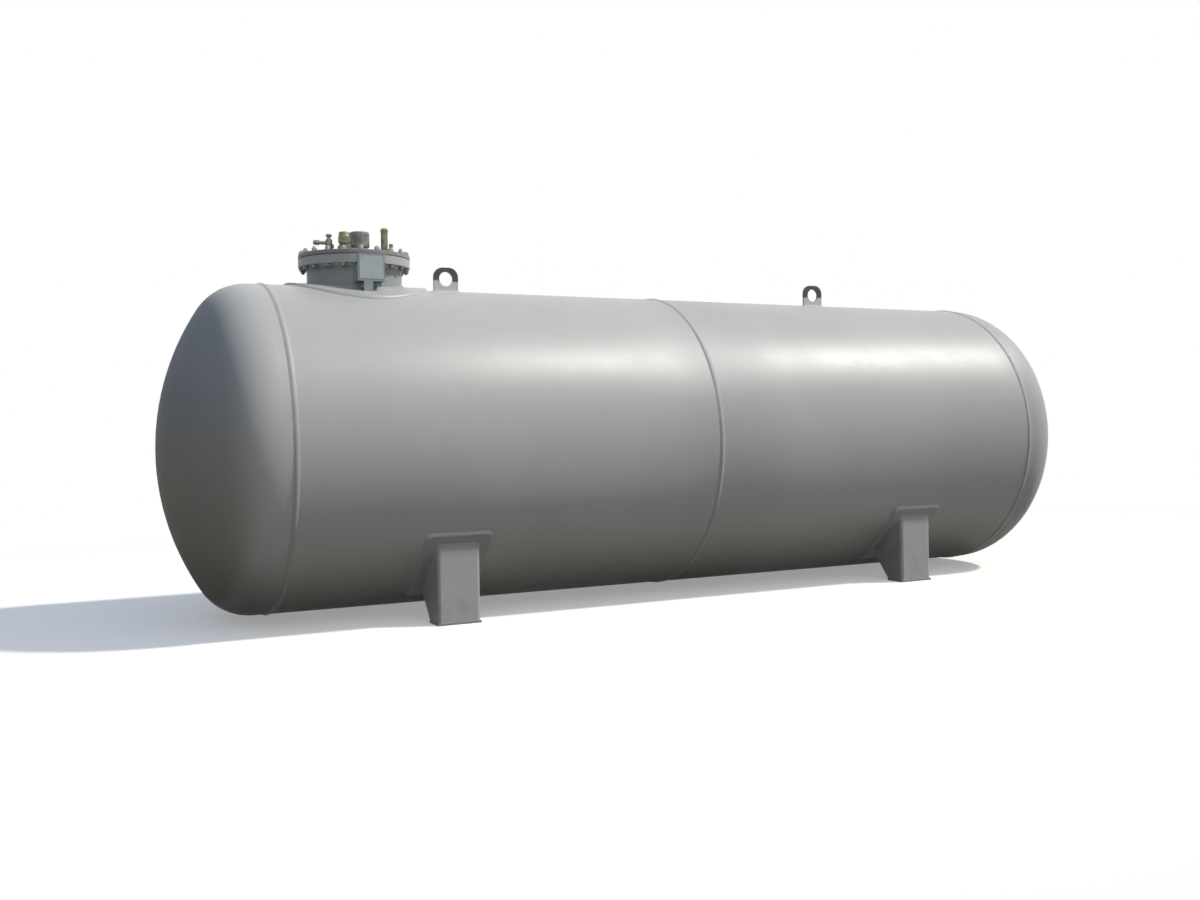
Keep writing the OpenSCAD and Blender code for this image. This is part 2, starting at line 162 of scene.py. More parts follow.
class Look(Graph):
    """A procedural material round one Principled shader, in the object's own metres."""

    def __init__(self, name):
        self.material = bpy.data.materials.new(name)
        self.material.use_nodes = True
        super().__init__(self.material.node_tree)
        self.shader = self.tree.nodes["Principled BSDF"]
        self.place = self.node("ShaderNodeTexCoord").outputs["Object"]
        self.x = self.axis(self.place, "X")
        self.z = self.axis(self.place, "Z")
        self.facing = self.node("ShaderNodeNewGeometry").outputs

    def set(self, name, value):
        self.put(self.shader.inputs[name], value)

    def stretch(self, x, y, z, offset=(0, 0, 0)):
        """The place, scaled along each axis and then moved."""
        made = self.node("ShaderNodeMapping")
        made.inputs["Scale"].default_value = (x, y, z)
        made.inputs["Location"].default_value = offset
        self.put(made.inputs["Vector"], self.place)
        return made.outputs["Vector"]

    def noise(self, scale, detail=2.0, roughness=0.5, vector=None):
        made = self.node("ShaderNodeTexNoise")
        made.inputs["Scale"].default_value = scale
        made.inputs["Detail"].default_value = detail
        made.inputs["Roughness"].default_value = roughness
        self.put(made.inputs["Vector"], vector or self.place)
        return made.outputs["Fac"]

    def bump(self, height, distance, normal=None):
        made = self.node("ShaderNodeBump")
        made.inputs["Strength"].default_value = 1.0
        made.inputs["Distance"].default_value = distance
        self.put(made.inputs["Height"], height)
        if normal:
            self.put(made.inputs["Normal"], normal)
        return made.outputs["Normal"]

    def finish(self, colour, roughness, normal):
        self.set("Base Color", colour)
        self.set("Roughness", roughness)
        self.set("Normal", normal)
        return self.material


# Colours of the coats and of what lies on them, and of painted shade and painted bounce light
TANK = (0.500, 0.502, 0.500)
MANWAY = (0.490, 0.502, 0.508)
# The neck is darker and a little greener than the flange: painted shade under the flange
NECK = (0.352, 0.383, 0.384)
COVER = (0.315, 0.323, 0.337)
# Darker and bluer than the legs: painted shade under the tank's belly
LEG_PAD = (0.440, 0.454, 0.470)
LEG = (0.503, 0.512, 0.516)
BRACKET = (0.340, 0.385, 0.425)
DIAL = (0.600, 0.600, 0.570)
DUST = (0.62, 0.60, 0.55)
# Warm tint of the painted light bounced from the ground onto the head at the manway end
HEAD_BOUNCE = (0.640, 0.550, 0.425)
DIRT = (0.16, 0.145, 0.12)

# Shares of a coat's own tone: in its clouds, in its flecks and in the browner runs down it
CLOUD_TINTS = (0.955, 1.035)
FLECK_TINT = 0.80
RUN_BROWNING = (1.0, 0.96, 0.90)
RUN_TINT = 0.62

# How strongly each of these shows; the last three are for grime one
FLECK_SHARE, FLECK_ROUGH = 0.05, 0.04
RUN_SHARE, SPLASH_SHARE, DARK_FOOT_SHARE = 0.16, 0.30, 0.55
PAINT_PATCHY = 0.05
PEEL_DEPTH = 0.00012

# Heights between which splashed dirt, and the darkening at the very foot, start and are full
SPLASH_HEIGHTS = (0.40, 0.0)
DARK_FOOT_HEIGHTS = (0.020, 0.006)


def tinted(colour, share):
    return tuple(c * share for c in colour)


def flecks(look):
    """Fine specks in a coat of paint."""
    return look.span(look.noise(140.0), 0.35, 0.65)


def streaks(look, grime):
    """Faint upright runs, here and there."""
    runs = look.span(look.noise(1.0, 3.0, 0.6, look.stretch(7.0, 7.0, 0.55)), 0.56, 0.78)
    patch = look.span(look.noise(0.9, 2.0, 0.5, look.stretch(1, 1, 1, (3.1, 1.7, 0.4))), 0.46, 0.66)
    return look.times(runs, look.times(patch, RUN_SHARE * grime))


def settled_dust(look, dust):
    """A film of dust on what faces up."""
    up = look.span(look.axis(look.facing["Normal"], "Z"), 0.55, 1.0)
    film = look.span(look.noise(6.0, 5.0, 0.65), 0.38, 0.72, 0.25, 1.0)
    return look.times(look.times(up, film), dust)


def splashes(look, grime):
    """Dirt splashed up from the ground."""
    splash = look.span(look.noise(9.0, 5.0, 0.7), 0.42, 0.74)
    return look.times(look.times(look.span(look.z, *SPLASH_HEIGHTS), splash), SPLASH_SHARE * grime)


def darker_foot(look, grime):
    """Darker at the very foot."""
    return look.times(look.span(look.z, *DARK_FOOT_HEIGHTS), DARK_FOOT_SHARE * grime)


def coat(look, colour, fleck, dust, grime):
    """Tone of a weathered coat of paint: cloudy, with flecks, faint runs, dust on top, dirt splashed low
    down and darker at the very foot.
    """
    cloud = look.span(look.noise(1.3, 4.0, 0.55), 0.30, 0.70)
    tone = look.mix(cloud, *(tinted(colour, share) for share in CLOUD_TINTS))
    tone = look.mix(look.times(fleck, FLECK_SHARE), tone, tinted(colour, FLECK_TINT))
    browned = tuple(c * share for c, share in zip(colour, RUN_BROWNING))
    tone = look.mix(streaks(look, grime), tone, tinted(browned, RUN_TINT))
    tone = look.mix(settled_dust(look, dust), tone, DUST)
    tone = look.mix(splashes(look, grime), tone, DIRT)
    return look.mix(darker_foot(look, grime), tone, DIRT)


def dulled(look, fleck, rough, patchy):
    """Roughness of a coat, in patches and flecks."""
    patches = look.span(look.noise(3.5, 4.0, 0.6), 0.30, 0.70, rough - patchy, rough + patchy)
    return look.plus(patches, look.times(fleck, FLECK_ROUGH))


def orange_peel(look, normal=None):
    """The very fine uneven skin of a sprayed coat."""
    return look.bump(look.noise(330.0), PEEL_DEPTH, normal)


def paint(name, colour, rough=0.40, dust=0.10, grime=0.5, shine=0.32):
    """Satin paint of the smaller pieces."""
    look = Look(name)
    look.set("Specular IOR Level", shine)
    fleck = flecks(look)
    tone = coat(look, colour, fleck, dust, grime)
    return look.finish(tone, dulled(look, fleck, rough, PAINT_PATCHY), orange_peel(look))


# The tank's own coat: its sheen, how far each kind of wear changes it, and how strong the painted bounce
# light on the head and the painted shade low down are
TANK_ROUGH, TANK_PATCHY, TANK_SHINE = 0.425, 0.015, 0.63
CHALK_ROUGH, CHALK_SHINE = 0.28, 0.06
SEAM_ROUGH, SEAM_SHINE = 0.08, 0.48
CHALK_RIGHT, CHALK_UNDER, CHALK_KEEL = 0.42, 0.45, 0.25
TANK_DUST, TANK_GRIME = 0.18, 0.5
HEAD_BOUNCE_SHARES = (0.36, 0.56)
LOW_SHADE_SHARE, LOW_SHADE_TINT = 0.26, 0.25
BRUSHED, BRUSHED_TURN = 0.20, 0.25

# Where that wear, the painted bounce light and the painted shade start and where they are full, along the
# tank (X) or in height (Z), in metres
CHALK_LEFT_X = (-COURSE - 0.08, -COURSE - 0.30)
CHALK_RIGHT_X = (COURSE - 0.15, COURSE + 0.12)
CHALK_UNDER_Z = (0.55, 0.15)
CHALK_KEEL_Z = (0.22, 0.05)
SEAM_GLEAM_X = (0.60, 0.06)
SEAM_GLEAM_Z = (0.95, 1.25)
HEAD_BOUNCE_X = (-COURSE - 0.12, -COURSE - 0.30)
HEAD_BOUNCE_Z = (1.15, 0.70)
LOW_SHADE_START_X = (0.60, 2.00)
LOW_SHADE_END_X = (COURSE + 0.06, COURSE - 0.06)
LOW_SHADE_Z = (1.30, 0.55)
LOW_SHADE_HEAD_X = (-COURSE - 0.02, -COURSE - 0.20)
LOW_SHADE_HEAD_Z = (0.45, 0.12)

# Waves and slopes of the plates: where they lie along the tank, and their heights in units of PLATE_BUMP
PLATE_BUMP = 0.0045
LONG_WAVE, SHORT_WAVE = 0.65, 0.13
LEFT_DRAW_X, LEFT_DRAW = (-1.75, -0.05), -16.0
RIGHT_DRAW_X, RIGHT_DRAW = (-0.22, 0.48), 9.5
END_DRAW_REACH, END_DRAW = 0.13, -0.10

# Distances from the axis between which the facets in the middle of the heads take over
CROWN_FACETS_R = (0.075, 0.050)


def chalked(look):
    """Where the paint has lost its gloss: on the heads, most at the manway end, and along the underside."""
    left = look.span(look.x, *CHALK_LEFT_X)
    right = look.span(look.x, *CHALK_RIGHT_X, 0.0, CHALK_RIGHT)
    under = look.span(look.z, *CHALK_UNDER_Z, 0.0, CHALK_UNDER)
    keel = look.span(look.z, *CHALK_KEEL_Z, 0.0, CHALK_KEEL)
    return look.larger(look.larger(left, right), look.plus(under, keel))


def beside_middle_weld(look):
    """The upper part of the plates on both sides of the middle weld, where the sheen is stronger."""
    near = look.span(look.apart(look.x, 0.0), *SEAM_GLEAM_X)
    return look.times(near, look.span(look.z, *SEAM_GLEAM_Z))


def painted_head_bounce(look):
    """Painted warm light bounced up from the ground, in patches, on the head at the manway end, below its
    upper third.
    """
    low = look.times(look.span(look.x, *HEAD_BOUNCE_X), look.span(look.z, *HEAD_BOUNCE_Z))
    return look.times(low, look.span(look.noise(2.2, 4.0, 0.6), 0.30, 0.70, *HEAD_BOUNCE_SHARES))


def painted_low_shade(look):
    """Painted shade on the lower half of the course away from the manway, and low on the head at the
    manway's end.
    """
    along = look.times(look.span(look.x, *LOW_SHADE_START_X), look.span(look.x, *LOW_SHADE_END_X))
    side = look.times(along, look.span(look.z, *LOW_SHADE_Z))
    foot = look.times(look.span(look.x, *LOW_SHADE_HEAD_X), look.span(look.z, *LOW_SHADE_HEAD_Z))
    return look.larger(side, foot)


def crown_normal(look):
    """The shell's own normals, and those of the facets at the very middle of the heads."""
    off_axis = look.length(look.stretch(0.0, 1.0, 1.0, (0, 0, -AXIS_Z)))
    made = look.node("ShaderNodeMix", data_type="VECTOR")
    look.put(made.inputs["Factor"], look.span(off_axis, *CROWN_FACETS_R))
    look.put(made.inputs[VECTOR_A], look.facing["Normal"])
    look.put(made.inputs[VECTOR_B], look.facing["True Normal"])
    return made.outputs[VECTOR_RESULT]


def plate_draw(look):
    """Slight draw of the plates at the girth welds, as a height."""
    left = look.span(look.x, *LEFT_DRAW_X, 0.0, LEFT_DRAW)
    total = look.plus(left, look.span(look.x, *RIGHT_DRAW_X, 0.0, RIGHT_DRAW))
    for seam in (-COURSE, COURSE):
        near = look.apart(look.x, seam)
        total = look.plus(total, look.span(near, 0.0, END_DRAW_REACH, END_DRAW, 0.0))
    return total


def plate_height(look):
    """Long and short waves of the plates with their draw, as a height."""
    long_wave = look.noise(1.0, 1.5, 0.45, look.stretch(0.75, 1.5, 1.5))
    short_wave = look.noise(3.2, 1.0, 0.4)
    waves = look.plus(look.times(long_wave, LONG_WAVE), look.times(short_wave, SHORT_WAVE))
    return look.plus(waves, plate_draw(look))


def tank_paint():
    """Paint of the shell and heads: chalked and dusty in places, with painted bounce light on the head at
    the manway end and painted shade low down, on slightly drawn plates.
    """
    look = Look("tank_paint")
    chalk = chalked(look)
    seam = beside_middle_weld(look)
    fleck = flecks(look)
    shine = look.span(chalk, 0.0, 1.0, TANK_SHINE, CHALK_SHINE)
    look.set("Specular IOR Level", look.plus(shine, look.times(seam, SEAM_SHINE)))
    tone = coat(look, TANK, fleck, TANK_DUST, TANK_GRIME)
    # Painted warm bounce light on the head at the manway end
    tone = look.mix(painted_head_bounce(look), tone, HEAD_BOUNCE)
    # Painted shade on the lower half of the course away from the manway and low on the head at the manway
    # end
    tone = look.mix(look.times(painted_low_shade(look), LOW_SHADE_SHARE), tone, tinted(TANK, LOW_SHADE_TINT))
    dull = look.plus(dulled(look, fleck, TANK_ROUGH, TANK_PATCHY), look.times(chalk, CHALK_ROUGH))
    dull = look.plus(dull, look.times(seam, SEAM_ROUGH))
    normal = look.bump(plate_height(look), PLATE_BUMP, orange_peel(look, crown_normal(look)))
    look.set("Anisotropic", BRUSHED)
    look.set("Anisotropic Rotation", BRUSHED_TURN)
    around = look.node("ShaderNodeTangent", direction_type="RADIAL", axis="X")
    look.set("Tangent", around.outputs["Tangent"])
    return look.finish(tone, dull, normal)


# Specks of tarnish, the spread of the roughness and the depth of the scratches on metal
SPECK_SHARE, SPECK_TINT = 0.45, 0.55
METAL_SMOOTHER, METAL_ROUGHER = 0.07, 0.16
SCRATCH_DEPTH = 0.00025


def metal(name, colour, stain, rough=0.36, stained=0.5, scale=40.0, metallic=1.0):
    """Metal, bare or thinly coated, with cloudy tarnish and fine scratches."""
    look = Look(name)
    look.set("Metallic", metallic)
    tarnish = look.span(look.noise(scale, 5.0, 0.65), 0.36, 0.70)
    tone = look.mix(look.times(tarnish, stained), colour, stain)
    speck = look.span(look.noise(scale * 7, 3.0, 0.6), 0.62, 0.75)
    tone = look.mix(look.times(speck, SPECK_SHARE), tone, tinted(stain, SPECK_TINT))
    cloud = look.noise(scale * 1.7, 4.0, 0.6)
    dull = look.span(cloud, 0.30, 0.72, rough - METAL_SMOOTHER, rough + METAL_ROUGHER)
    scratch = look.noise(90.0, 3.0, 0.7, look.stretch(1.0, 1.0, 9.0))
    normal = look.bump(look.plus(scratch, look.noise(scale * 9)), SCRATCH_DEPTH)
    return look.finish(tone, dull, normal)


# Black on the upper part of the lugs: how far it reaches down from the top, and how uneven and how soft its
# edge is
LUG_BLACK_DEPTH = 0.073
LUG_RAGGED = 0.006
LUG_EDGE = 0.004
LUG_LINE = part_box("left_lifting_lug")[1].z - LUG_BLACK_DEPTH
LUG_BLACK = ((0.034, 0.034, 0.035), (0.060, 0.058, 0.056))
LUG_RUBBED, LUG_RUB_SHARE = (0.15, 0.145, 0.14), 0.5
LUG_GREY = (tinted(TANK, 1.10), tinted(TANK, 1.24))
LUG_ROUGH = (0.36, 0.48)
LUG_GRAIN = 0.0002


def lug_paint():
    """Grey a little lighter than the tank's paint below, black above a slightly uneven line."""
    look = Look("lug_paint")
    uneven = look.span(look.noise(26.0, 3.0, 0.6), 0.25, 0.75, -LUG_RAGGED, LUG_RAGGED)
    dark = look.span(look.plus(look.z, uneven), LUG_LINE - LUG_EDGE, LUG_LINE + LUG_EDGE)
    cloud = look.span(look.noise(30.0, 4.0, 0.6), 0.30, 0.70)
    grey = look.mix(cloud, *LUG_GREY)
    rub = look.span(look.noise(75.0, 4.0, 0.7), 0.66, 0.74)
    black = look.mix(look.times(rub, LUG_RUB_SHARE), look.mix(cloud, *LUG_BLACK), LUG_RUBBED)
    dull = look.span(look.noise(50.0, 3.0), 0.3, 0.7, *LUG_ROUGH)
    return look.finish(look.mix(dark, grey, black), dull, look.bump(look.noise(220.0), LUG_GRAIN))


GASKET_BLACK = ((0.018, 0.018, 0.018), (0.050, 0.048, 0.045))
GASKET_ROUGH = (0.65, 0.85)
GASKET_GRAIN = 0.0003


def gasket_look():
    """Dull black sheet."""
    look = Look("gasket")
    cloud = look.span(look.noise(60.0, 4.0), 0.35, 0.7)
    dull = look.span(look.noise(90.0), 0.3, 0.7, *GASKET_ROUGH)
    return look.finish(look.mix(cloud, *GASKET_BLACK), dull, look.bump(look.noise(400.0), GASKET_GRAIN))


looks = {
    "tank_paint": tank_paint(),
    # The girth weld beads are a shade darker than the tank: slight painted shade along the welds
    "weld_paint": paint("weld_paint", tinted(TANK, 0.97), rough=0.48, shine=0.42),
    "manway_paint": paint("manway_paint", MANWAY, rough=0.42, dust=0.16),
    # Painted shade: the neck is darker than the flange
    "shaded_neck_paint": paint("shaded_neck_paint", NECK, rough=0.45, dust=0.16),
    "cover_paint": paint("cover_paint", COVER, rough=0.45, dust=0.22),
    # Painted shade: the leg pads are darker and bluer than the legs
    "pad_paint": paint("pad_paint", LEG_PAD, rough=0.42, grime=0.7),
    "leg_paint": paint("leg_paint", LEG, rough=0.43, grime=0.9),
    "bracket_sheet": paint("bracket_sheet", BRACKET, rough=0.40),
    "dial": paint("dial", DIAL, rough=0.35, dust=0.15, grime=0.2),
    "gauge_casting": metal("gauge_casting", (0.340, 0.340, 0.325), (0.125, 0.127, 0.117),
                           rough=0.48, stained=1.0, scale=55.0, metallic=0.1),
    "brass": metal("brass", (0.245, 0.238, 0.145), (0.110, 0.109, 0.075),
                   rough=0.42, stained=0.85, metallic=0.6),
    "gauge_metal": metal("gauge_metal", (0.500, 0.505, 0.510), (0.270, 0.270, 0.262), rough=0.40),
    "dark_steel": metal("dark_steel", (0.250, 0.250, 0.245), (0.120, 0.116, 0.106),
                        rough=0.45, metallic=0.5),
    "bare_plate": metal("bare_plate", (0.300, 0.345, 0.365), (0.235, 0.260, 0.268),
                        rough=0.42, scale=14.0, metallic=0.6),
    "zinc": metal("zinc", (0.400, 0.400, 0.392), (0.210, 0.200, 0.180),
                  rough=0.50, stained=0.7, scale=60.0, metallic=0.7),
    "lug_paint": lug_paint(),
    "gasket": gasket_look(),
}

# The neck is darker than the flange, which has the same slot: painted shade under the flange
OWN_LOOKS = {"manway_neck": "shaded_neck_paint"}

for entry in frame["record"]["subparts"]:
    mesh = nodes[entry["node"]].data
    mesh.materials.clear()
    mesh.materials.append(looks[OWN_LOOKS.get(entry["node"], entry["material_slot"])])


# Mesh building

# Edges sharper than this show as edges, in degrees
EDGE, CAP_EDGE, WELD_EDGE = 40.0, 35.0, 60.0

# A fillet weld's form, as shares of its leg: sunk root, hollow of its face, taper and tip of a free end
FILLET_ROOT = 0.25
FILLET_HOLLOW = 0.20
FILLET_TAPER = 1.5
FILLET_TIP = 0.15
FILLET_RIPPLE = 0.05

# Slow waves along a weld, each with its share, rate and start: fillets by length, girth welds by angle
FILLET_WANDER = ((0.05, 23.0, 0.0), (0.03, 61.0, 1.0))
GIRTH_WANDER = ((0.05, 37, 0.0), (0.04, 91, 0.7))

# Eased corners of a nut, as shares of its height and of its radius
NUT_EASE, NUT_CORNER = 0.12, 0.92


def wandering(size, run, waves):
    """A size with slow waves added along a run."""
    for share, rate, start in waves:
        size = size + share * np.sin(run * rate + start)
    return size


def fillet_section():
    """Section of a fillet of leg one: across the base and up the plate."""
    turn = np.linspace(0, math.pi / 2, 7)
    reach = 1 - FILLET_HOLLOW * np.sin(2 * turn)
    face = list(zip(reach * np.cos(turn), reach * np.sin(turn)))
    return np.array([(-FILLET_ROOT, -FILLET_ROOT), (1.0, -FILLET_ROOT)] + face + [(-FILLET_ROOT, 1.0)])


def fillet_legs(run, total, leg, pitch, closed):
    """Leg of a fillet along its run: rippled and slightly uneven, and thinner at free ends."""
    ripple = np.sin(run / total * max(1, round(total / pitch)) * TAU)
    legs = leg * wandering(1 + FILLET_RIPPLE * ripple, run, FILLET_WANDER)
    if closed:
        return legs
    return legs * np.sqrt(np.clip(np.minimum(run, total - run) / (FILLET_TAPER * leg), FILLET_TIP, 1))


class Build:
    """Collects points and faces of one piece."""

    def __init__(self):
        self.points = []
        self.faces = []
        self.count = 0

    def grid(self, rows, closed_rows, closed_columns, cap=False):
        """A skin over rows of points, each row an array of the same length."""
        rows = np.asarray(rows, float)
        n, m = rows.shape[:2]
        start = self.count
        self.points.append(rows.reshape(-1, 3))
        self.count += n * m
        row_steps = np.arange(n if closed_rows else n - 1)
        column_steps = np.arange(m if closed_columns else m - 1)
        i, j = np.meshgrid(row_steps, column_steps, indexing="ij")
        i2, j2 = (i + 1) % n, (j + 1) % m
        quads = np.stack([i * m + j, i * m + j2, i2 * m + j2, i2 * m + j], -1).reshape(-1, 4) + start
        self.faces.extend(quads.tolist())
        if cap:
            self.faces.append(list(range(start + m - 1, start - 1, -1)))
            self.faces.append(list(range(start + (n - 1) * m, start + n * m)))

    def lathe(self, centre, profile, sides=48, direction=UP, turn=0.0, wobble=None):
        """A turned body: profile holds (radius, height) from one end to the other."""
        z = Vector(direction).normalized()
        x = z.orthogonal().normalized()
        y = z.cross(x)
        angles = np.arange(sides) / sides * TAU + turn
        rim = np.outer(np.cos(angles), np.array(x)) + np.outer(np.sin(angles), np.array(y))
        rows = []
        for radius, height in profile:
            r = radius * (1 if wobble is None else wobble(angles, height))
            ring = rim * np.reshape(r * np.ones(sides), (-1, 1))
            rows.append(np.array(centre) + ring + np.array(z) * height)
        self.grid(rows, False, True, cap=True)

    def hexagon(self, centre, flats, height, direction=UP, turn=0.0):
        """A hexagonal nut or head with eased corners."""
        r = flats / math.sqrt(3)
        ease = NUT_EASE * height
        profile = [(r * NUT_CORNER, 0), (r, ease), (r, height - ease), (r * NUT_CORNER, height)]
        self.lathe(centre, profile, 6, direction, turn)

    def fillet(self, path, out, centre, leg, closed=False, pitch=0.006, step=0.0025):
        """A rippled fillet weld along a plate's foot, lying away from a centre; out points off the base."""
        path, out = np.asarray(path, float), np.asarray(out, float)
        if closed:
            path, out = np.vstack([path, path[:1]]), np.vstack([out, out[:1]])
        length = np.concatenate([[0], np.cumsum(np.linalg.norm(np.diff(path, axis=0), axis=1))])
        total = length[-1]
        run = np.linspace(0, total, max(4, int(total / step)), endpoint=not closed)
        p = np.stack([np.interp(run, length, path[:, k]) for k in range(3)], 1)
        o = np.stack([np.interp(run, length, out[:, k]) for k in range(3)], 1)
        if closed:
            along = np.roll(p, -1, 0) - np.roll(p, 1, 0)
            along = sum(np.roll(along, k, 0) for k in (-2, -1, 0, 1, 2))
        else:
            along = np.gradient(p, axis=0)
        away = np.cross(along, o)
        away /= np.linalg.norm(away, axis=1)[:, None]
        away *= np.sign(((p - np.asarray(centre, float)) * away).sum(1))[:, None]
        o /= np.linalg.norm(o, axis=1)[:, None]
        section = fillet_section()
        across = section[None, :, :1] * away[:, None, :]
        upward = section[None, :, 1:] * o[:, None, :]
        legs = fillet_legs(run, total, leg, pitch, closed)
        self.grid(p[:, None, :] + legs[:, None, None] * (across + upward), closed, True, cap=not closed)

    def piece(self, name, look, slot, replaces=None, sharp=EDGE):
        mesh = bpy.data.meshes.new(name)
        mesh.from_pydata(np.vstack(self.points).tolist(), [], self.faces)
        mesh.validate()
        mesh.update()
        mesh.polygons.foreach_set("use_smooth", [True] * len(mesh.polygons))
        mesh.set_sharp_from_angle(angle=math.radians(sharp))
        mesh.materials.append(looks[look])
        made = bpy.data.objects.new(name, mesh)
        scene.collection.objects.link(made)
        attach(made, "root")
        if replaces:
            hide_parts(replaces)


def on_shell(x, angle, radius):
    """A point and its outward direction on a round about the tank's axis; angle from straight up."""
    out = np.array([0.0, math.sin(angle), math.cos(angle)])
    return np.array([x, 0.0, AXIS_Z]) + radius * out, out


def level_round(x, y, z, radius, count):
    """Points of a level round."""
    angles = [k / count * TAU for k in range(count)]
    return [(x + radius * math.cos(a), y + radius * math.sin(a), z) for a in angles]


# Girth welds

GIRTH_STEPS = 1900
GIRTH_ACROSS = 9
GIRTH_RIPPLES = 760
GIRTH_SINK = 0.002

# Shares of the ring's half width and height, the bow of the ripples and the roundness of the crown
GIRTH_FILL = 0.98
GIRTH_CROWN, GIRTH_RIPPLE, GIRTH_MOST = 0.80, 0.10, 0.99
GIRTH_BOW, GIRTH_ROUND = 1.9, 1.4


def girth_weld(name, x):
    """A crowned, rippled bead round the shell, in the place of the plain ring."""
    low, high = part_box(name)
    half = (high.x - low.x) / 2 * GIRTH_FILL
    height = (high.z - low.z) / 2 - SHELL_R
    angle = np.arange(GIRTH_STEPS)[:, None] / GIRTH_STEPS * TAU
    u = np.linspace(-1, 1, GIRTH_ACROSS)
    ripple = GIRTH_RIPPLE * np.sin(angle * GIRTH_RIPPLES + GIRTH_BOW * u ** 2)
    wander = wandering(0.0, angle, GIRTH_WANDER)
    crown = (1 - u ** 2) ** GIRTH_ROUND * (GIRTH_CROWN + ripple + wander)
    root = np.full((GIRTH_STEPS, 2), SHELL_R - GIRTH_SINK)
    r = np.hstack([SHELL_R + height * np.clip(crown, 0, GIRTH_MOST), root])
    across = x + np.concatenate([u * half, [half, -half]])
    rows = np.stack([np.broadcast_to(across, r.shape), r * np.sin(angle), AXIS_Z + r * np.cos(angle)], -1)
    made = Build()
    made.grid(rows, True, True)
    made.piece(name + "_bead", "weld_paint", "tank_paint", name, sharp=WELD_EDGE)


girth_weld("left_girth_weld", -COURSE)
girth_weld("middle_girth_weld", 0.0)
girth_weld("right_girth_weld", COURSE)


# Welds of the manway

NECK_WELD = 0.008
FLANGE_WELD = 0.010
RING_STEPS = 360
FLANGE_STEPS = 180


def round_on_shell(radius, shell_radius):
    """A round of a given radius about the manway's axis, laid on the shell."""
    points, ups = [], []
    for k in range(RING_STEPS):
        a = k / RING_STEPS * TAU
        x, y = MANWAY_X + radius * math.cos(a), radius * math.sin(a)
        points.append((x, y, AXIS_Z + math.sqrt(shell_radius ** 2 - y ** 2)))
        ups.append((0, y / shell_radius, math.sqrt(1 - (y / shell_radius) ** 2)))
    return points, ups


def manway_weld(name, look, slot, path, out, leg):
    """A closed fillet about the manway's axis."""
    made = Build()
    made.fillet(path, out, (MANWAY_X, 0, path[0][2]), leg, closed=True)
    made.piece(name, look, slot, sharp=WELD_EDGE)


def manway_welds():
    """Fillets round the pad, where the neck meets the pad, and under the flange."""
    path, out = round_on_shell(NECK_PAD_R, SHELL_R)
    manway_weld("manway_pad_weld", "tank_paint", "tank_paint", path, out, NECK_PAD_T)
    path, out = round_on_shell(NECK_R, SHELL_R + NECK_PAD_T)
    # The neck's weld takes the neck's painted shade
    manway_weld("manway_neck_weld", "shaded_neck_paint", "manway_paint", path, out, NECK_WELD)
    path, out = level_round(MANWAY_X, 0, flange_low.z, NECK_R, FLANGE_STEPS), [DOWN] * FLANGE_STEPS
    manway_weld("manway_flange_weld", "manway_paint", "manway_paint", path, out, FLANGE_WELD)


manway_welds()


# Welds of the legs and lugs

LEG_WELD = 0.004
FOOT_WELD_SHARE = 0.9
LUG_WELD = 0.011

# Steps along corners, bends and straight runs
PAD_CORNER_STEPS, PAD_RUN_STEPS = 8, 12
FOLD_SIDE_POINTS, FOLD_BEND_POINTS = 14, 7
LUG_RUN_STEPS = 10


def pad_rim(low, high, sy):
    """Rim of a leg pad on the shell, with its outward directions and its middle."""
    mid, half = (low.x + high.x) / 2, (high.x - low.x) / 2
    top = math.pi / 2 + math.asin((AXIS_Z - high.z) / SHELL_R)
    bottom = math.pi / 2 + math.asin((AXIS_Z - low.z) / (SHELL_R + LEG_PAD_T))
    bend = LEG_PAD_CORNER / SHELL_R
    rim = []
    for side, quarter in ((1, 0), (-1, 1), (-1, 2), (1, 3)):
        for k in range(PAD_CORNER_STEPS + 1):
            a = (quarter + k / PAD_CORNER_STEPS) * math.pi / 2
            x = mid + side * (half - LEG_PAD_CORNER) + LEG_PAD_CORNER * math.cos(a)
            rim.append((x, (top + bend if quarter < 2 else bottom - bend) - bend * math.sin(a)))
    path, out = [], []
    for (x0, a0), (x1, a1) in zip(rim, rim[1:] + rim[:1]):
        for t in np.linspace(0, 1, PAD_RUN_STEPS, endpoint=False):
            point, normal = on_shell(x0 + (x1 - x0) * t, sy * (a0 + (a1 - a0) * t), SHELL_R)
            path.append(point)
            out.append(normal)
    return path, out, on_shell(mid, sy * (top + bottom) / 2, SHELL_R)[0]


def fold_line(half, end, front):
    """Outside of the folded leg seen from above, from one rear edge round to the other."""
    line = [(-half, y) for y in np.linspace(end, front - LEG_BEND, FOLD_SIDE_POINTS)]
    for a in np.linspace(0, math.pi / 2, FOLD_BEND_POINTS)[1:]:
        line.append((-half + LEG_BEND - LEG_BEND * math.cos(a), front - LEG_BEND + LEG_BEND * math.sin(a)))
    return line + [(-x, y) for x, y in line[::-1]]


